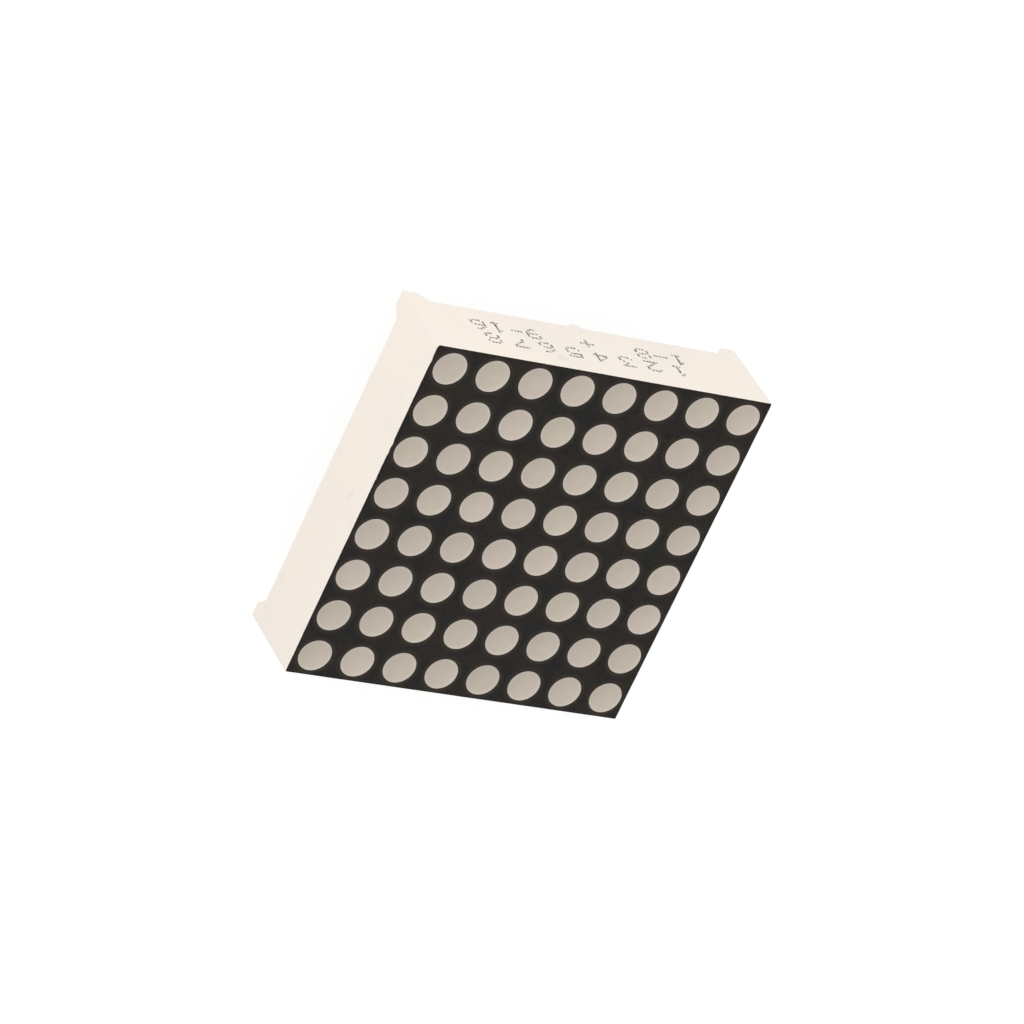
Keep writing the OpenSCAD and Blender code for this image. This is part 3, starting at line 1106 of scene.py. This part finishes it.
@dataclass(frozen=True)
class PinNumbers:
    """Plain numbers in small dots of jet ink on the wall that faces +Y.

    Each glyph holds two hexadecimal digits a line, whose bits are its dots.
    """

    wall_y: float
    pins: int = 8
    pin_pitch: float = 2.54 * MM
    pin_middle: float = 4.2
    upper_z: float = 10.24 * MM
    lower_z: float = 8.42 * MM
    lower: tuple[tuple[str, float], ...] = (
        ("1-8", 7.1 * MM), ("+", 0.0), ("9-16", -7.7 * MM))
    across_step: float = 0.287 * MM
    up_step: float = 0.217 * MM
    dot_r: float = 0.122 * MM
    dot_sides: int = 10
    smallest: float = 0.72
    largest: float = 1.08
    wander: float = 0.014 * MM
    missed: float = 0.03
    ink_t: float = 0.004 * MM
    seed: int = 21
    lines: int = 7
    columns: int = 5
    gap: int = 1
    glyphs: dict[str, str] = field(default_factory=lambda: {
        "0": "0e11191513110e", "1": "040c040404040e", "2": "0e11010204081f",
        "3": "1f02040201110e", "4": "02060a121f0202", "5": "1f101e0101110e",
        "6": "0608101e11110e", "7": "1f010204080808", "8": "0e11110e11110e",
        "9": "0e11110f01020c", "-": "0000001f000000", "+": "0004041f040400"})

    def words(self) -> list[tuple[str, float, float]]:
        """Returns each text with its middle, in X and Z: the pins over the two rows."""
        upper = [(str(k), (self.pin_middle - k) * self.pin_pitch, self.upper_z)
                 for k in range(1, self.pins + 1)]
        return upper + [(text, x, self.lower_z) for text, x in self.lower]

    def dots(self, text: str) -> list[tuple[float, float]]:
        """Lays out a short text in its own plane.

        Args:
            text: the characters.

        Returns:
            The places of its dots in steps, across and up from its middle.
        """
        width = len(text) * (self.columns + self.gap) - self.gap
        places = []
        for index, letter in enumerate(text):
            code = self.glyphs[letter]
            for line in range(self.lines):
                bits = int(code[2 * line:2 * line + 2], 16)
                for column in range(self.columns):
                    if bits >> (self.columns - 1 - column) & 1:
                        across = index * (self.columns + self.gap) + column - (width - 1) / 2
                        places.append((across, (self.lines - 1) / 2 - line))
        return places

    def build(self, material: bpy.types.Material) -> bpy.types.Object:
        """Prints the words.

        Args:
            material: the ink.

        Returns:
            The piece with all the ink.
        """
        draw = random.Random(self.seed)
        shape = Shape()
        facing = Matrix.Rotation(-math.pi / 2, 4, "X")
        spots = [(across, up, x, z) for text, x, z in self.words()
                 for across, up in self.dots(text)]
        for across, up, x, z in spots:
            astray = [draw.gauss(0, self.wander) for _ in range(2)]
            if draw.random() < self.missed:
                continue
            place = Vector((x - across * self.across_step + astray[0],
                            self.wall_y + self.ink_t, z + up * self.up_step + astray[1]))
            disc = bmesh.ops.create_circle(
                shape.bm, cap_ends=True, segments=self.dot_sides,
                radius=self.dot_r * draw.uniform(self.smallest, self.largest),
                matrix=Matrix.Translation(place) @ facing)
            faces = list({f for v in disc["verts"] for f in v.link_faces})
            shape.grow(faces, Vector((0, -2 * self.ink_t, 0)))
        return shape.finish("pin_numbers", material, Slot.BLACK)


# ------------------------------------------------------------------ stage


@dataclass(frozen=True)
class Viewpoint:
    """The camera, fixed by its place and by its right, up and back ways."""

    place: Vector = Vector((-0.27426, 0.22380, 0.40165))
    right: Vector = Vector((0.84379, 0.39300, 0.36547))
    up: Vector = Vector((-0.13701, 0.81617, -0.56134))
    back: Vector = Vector((-0.51889, 0.42358, 0.74252))
    lens_mm: float = 228.516
    sensor_mm: float = 36.0
    nearest: float = 0.01
    farthest: float = 10.0

    def build(self) -> None:
        """Makes the camera and puts the scene in its charge."""
        data = bpy.data.cameras.new("Camera")
        data.lens = self.lens_mm
        data.sensor_width = self.sensor_mm
        data.clip_start, data.clip_end = self.nearest, self.farthest
        camera = bpy.data.objects.new("Camera", data)
        turn = Matrix((self.right, self.up, self.back)).transposed()
        camera.matrix_world = Matrix.Translation(self.place) @ turn.to_4x4()
        bpy.context.scene.collection.objects.link(camera)
        bpy.context.scene.camera = camera


@dataclass(frozen=True)
class SoftLamp:
    """A square soft light that looks at the object, with its angles in degrees."""

    name: str
    azimuth: float
    elevation: float
    distance: float
    width: float
    watts: float
    aim: Vector = Vector((0, 0, 0.009))

    def build(self) -> None:
        """Makes the lamp, turned to the middle of the object."""
        data = bpy.data.lights.new(self.name, "AREA")
        data.shape = "SQUARE"
        data.size = self.width
        data.energy = self.watts
        lamp = bpy.data.objects.new(self.name, data)
        turn, rise = math.radians(self.azimuth), math.radians(self.elevation)
        way = Vector((math.cos(turn) * math.cos(rise), math.sin(turn) * math.cos(rise),
                      math.sin(rise)))
        lamp.matrix_world = (Matrix.Translation(way * self.distance + self.aim)
                             @ way.to_track_quat("Z", "Y").to_matrix().to_4x4())
        bpy.context.scene.collection.objects.link(lamp)


@dataclass(frozen=True)
class Studio:
    """The pale floor, the even sky and the lamps."""

    floor_half: float = 3.0
    floor_colour: Colour = (0.86, 0.86, 0.86)
    white: Colour = (1.0, 1.0, 1.0)
    shadow_share: float = 0.16
    glow: float = 0.88
    sky: float = 0.60
    sky_seen: float = 1.0
    lamps: tuple[SoftLamp, ...] = (
        SoftLamp("Key", azimuth=133, elevation=35, distance=0.9, width=0.45, watts=4.35),
        SoftLamp("Fill", azimuth=-50, elevation=70, distance=1.1, width=0.8, watts=1.6),
    )

    def seen(self, graph: Graph) -> bpy.types.NodeSocket:
        """Returns 1 for rays from the camera, a reflection or a glass, else 0."""
        path = graph.node("LightPath").outputs
        both = graph.math("MAXIMUM", path["Is Camera Ray"], path["Is Glossy Ray"])
        return graph.math("MAXIMUM", both, path["Is Transmission Ray"])

    def floor(self) -> None:
        """Lays the floor, white from above with a faint shadow, and clear from below."""
        bm = bmesh.new()
        bmesh.ops.create_grid(bm, x_segments=1, y_segments=1, size=self.floor_half)
        mesh = bpy.data.meshes.new("Floor")
        bm.to_mesh(mesh)
        bm.free()
        floor = bpy.data.objects.new("Floor", mesh)
        bpy.context.scene.collection.objects.link(floor)
        material = bpy.data.materials.new("Pale floor")
        material.use_nodes = True
        material.node_tree.nodes.clear()
        graph = Graph(material.node_tree)
        plain = graph.node("BsdfDiffuse", {"Color": self.floor_colour}).outputs[0]
        dim = graph.node("BsdfDiffuse", {"Color": (self.shadow_share,) * 3}).outputs[0]
        glow = graph.node("Emission", {"Color": self.white, "Strength": self.glow}).outputs[0]
        shown = graph.node("AddShader", {0: dim, 1: glow}).outputs[0]
        above = graph.node("MixShader", {0: self.seen(graph), 1: plain, 2: shown}).outputs[0]
        below = graph.node("NewGeometry").outputs["Backfacing"]
        clear = graph.node("BsdfTransparent").outputs[0]
        both = graph.node("MixShader", {0: below, 1: above, 2: clear}).outputs[0]
        graph.node("OutputMaterial", {"Surface": both})
        mesh.materials.append(material)

    def build(self) -> None:
        """Makes the floor, the sky and the lamps, and sets the view."""
        self.floor()
        world = bpy.data.worlds.new("Sky")
        bpy.context.scene.world = world
        world.use_nodes = True
        world.node_tree.nodes.clear()
        graph = Graph(world.node_tree)
        strength = graph.ramp(self.seen(graph), 0.0, 1.0, self.sky, self.sky_seen)
        sky = graph.node("Background", {"Color": self.white, "Strength": strength})
        graph.node("OutputWorld", {"Surface": sky.outputs[0]})
        for lamp in self.lamps:
            lamp.build()
        bpy.context.scene.view_settings.view_transform = "Standard"


@dataclass(frozen=True)
class Module:
    """The whole display module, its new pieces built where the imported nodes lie.

    The potting's edge is let into the walls: its half width is the board's and wall_lap.
    """

    nodes: dict[str, bpy.types.Object]
    slots: dict[str, str]
    wall_lap: float = 0.12 * MM

    def build(self) -> None:
        """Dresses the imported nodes, then makes the layer, the resin, the pins and the ink."""
        finishes = Finishes()
        materials = finishes.dress_frame(self.nodes, self.slots)
        low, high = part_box("face_mask")
        grid = DotGrid(high.z)
        FaceLayer(grid, low, high).build(materials[Slot.BLACK])
        names = sorted(name for name in self.nodes if name.startswith("pin_"))
        middles = [sum(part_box(name), Vector()) / 2 for name in names]
        potting = RearPotting(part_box("epoxy_fill")[0].z,
                              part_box("circuit_board")[1].x + self.wall_lap)
        ResinFill(grid, DotCap(), potting).build(materials[Slot.RESIN], middles)
        for seed, name in enumerate(names):
            WirePin(name).build(materials[Slot.WIRE], seed)
        PinNumbers(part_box("housing")[1].y).build(finishes.print_ink.build())


def main() -> None:
    """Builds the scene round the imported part, and reports each piece."""
    logging.basicConfig(level=logging.INFO, format="%(name)s: %(message)s")
    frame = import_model()
    Viewpoint().build()
    Studio().build()
    slots = {part["node"]: part["material_slot"] for part in frame["record"]["subparts"]}
    Module(frame["nodes"], slots).build()


if __name__ == "__main__":
    main()
